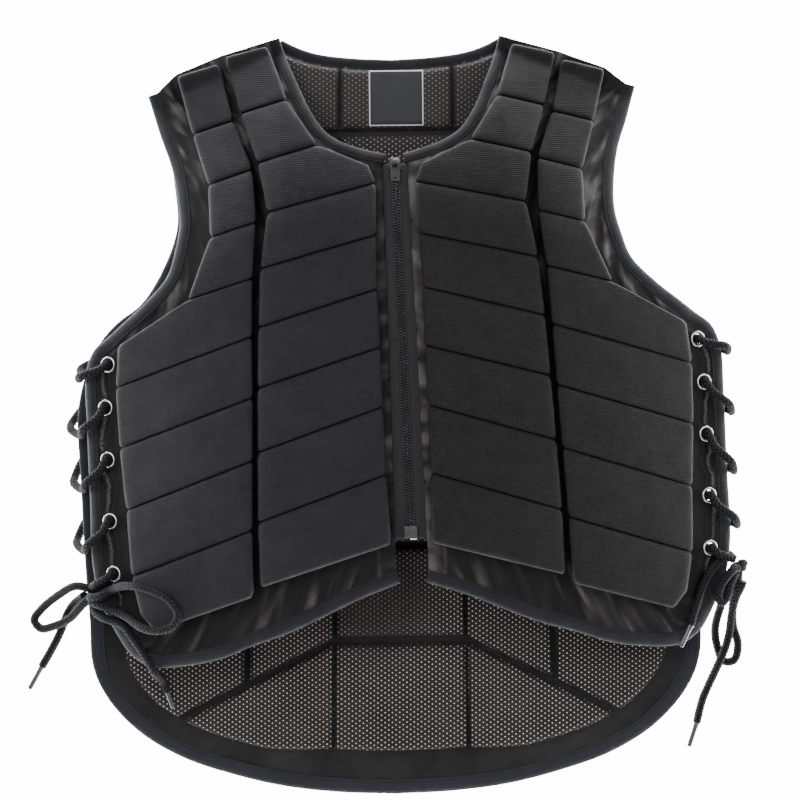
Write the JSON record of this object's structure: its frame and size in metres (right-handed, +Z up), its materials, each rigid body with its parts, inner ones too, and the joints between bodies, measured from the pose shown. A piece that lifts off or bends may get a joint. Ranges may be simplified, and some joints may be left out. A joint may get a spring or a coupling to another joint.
{
  "type": "equestrian body protector",
  "caption": "Padded riding vest with foam blocks, a front zip, laced sides tied in bows and a long back tail, lying flat on its back.",
  "frame": {"origin": "the flat outer face of the back, which lies on the floor, on the back's centre tile at mid length", "axes": "+Z up from the floor through the front, +Y along the centre line towards the neck, +X towards the wearer's left, the right of the picture"},
  "size_m": [0.6091, 0.6422, 0.1167],
  "materials": {
    "block_cloth": "charcoal woven cover with a fine rib",
    "margin_cloth": "satin-faced woven cloth",
    "lining_mesh": "dark lining with a dotted air mesh",
    "binding_knit": "matt elastic binding",
    "lace_braid": "herringbone braid",
    "eyelet_steel": "plated, smooth",
    "zip_plastic": "black moulded teeth and woven tape",
    "zip_metal": "black enamel",
    "aglet_plastic": "glossy heat-shrunk sleeve",
    "label_cloth": "plain woven patch"
  },
  "bodies": {
    "vest": {"back_panel": "lining_mesh", "back_binding": "binding_knit", "neck_back_binding": "binding_knit", "label_patch": "label_cloth", "front_right_shell": "margin_cloth", "front_right_inner_pad": "block_cloth", "front_right_outer_pad": "block_cloth", "front_right_binding": "binding_knit", "neck_right_binding": "binding_knit", "zip_tape_right": "zip_plastic", "eyelet_front_right_1": "eyelet_steel", "eyelet_front_right_2": "eyelet_steel", "eyelet_front_right_3": "eyelet_steel", "eyelet_front_right_4": "eyelet_steel", "eyelet_front_right_5": "eyelet_steel", "eyelet_back_right_1": "eyelet_steel", "eyelet_back_right_2": "eyelet_steel", "eyelet_back_right_3": "eyelet_steel", "eyelet_back_right_4": "eyelet_steel", "eyelet_back_right_5": "eyelet_steel", "lace_right_run": "lace_braid", "front_left_shell": "margin_cloth", "front_left_inner_pad": "block_cloth", "front_left_outer_pad": "block_cloth", "front_left_binding": "binding_knit", "neck_left_binding": "binding_knit", "zip_tape_left": "zip_plastic", "eyelet_front_left_1": "eyelet_steel", "eyelet_front_left_2": "eyelet_steel", "eyelet_front_left_3": "eyelet_steel", "eyelet_front_left_4": "eyelet_steel", "eyelet_front_left_5": "eyelet_steel", "eyelet_back_left_1": "eyelet_steel", "eyelet_back_left_2": "eyelet_steel", "eyelet_back_left_3": "eyelet_steel", "eyelet_back_left_4": "eyelet_steel", "eyelet_back_left_5": "eyelet_steel", "lace_left_run": "lace_braid", "zip_chain": "zip_plastic", "zip_slider": "zip_metal", "zip_bottom_box": "zip_plastic", "lace_right_bow": "lace_braid", "lace_right_short_tail": "lace_braid", "lace_right_long_tail": "lace_braid", "aglet_right_short": "aglet_plastic", "aglet_right_long": "aglet_plastic", "lace_left_bow": "lace_braid", "lace_left_short_tail": "lace_braid", "lace_left_long_tail": "lace_braid", "aglet_left_short": "aglet_plastic", "aglet_left_long": "aglet_plastic"},
    "zip_pull": {"zip_pull": "zip_metal"}
  },
  "joints": [
    {"name": "pull_flip", "type": "hinge", "parent": "vest", "child": "zip_pull", "pos_m": [-0.001, 0.20805, 0.08808], "axis": [-0.9991, -0.0425, 0], "range_deg": [0, 165]}
  ]
}
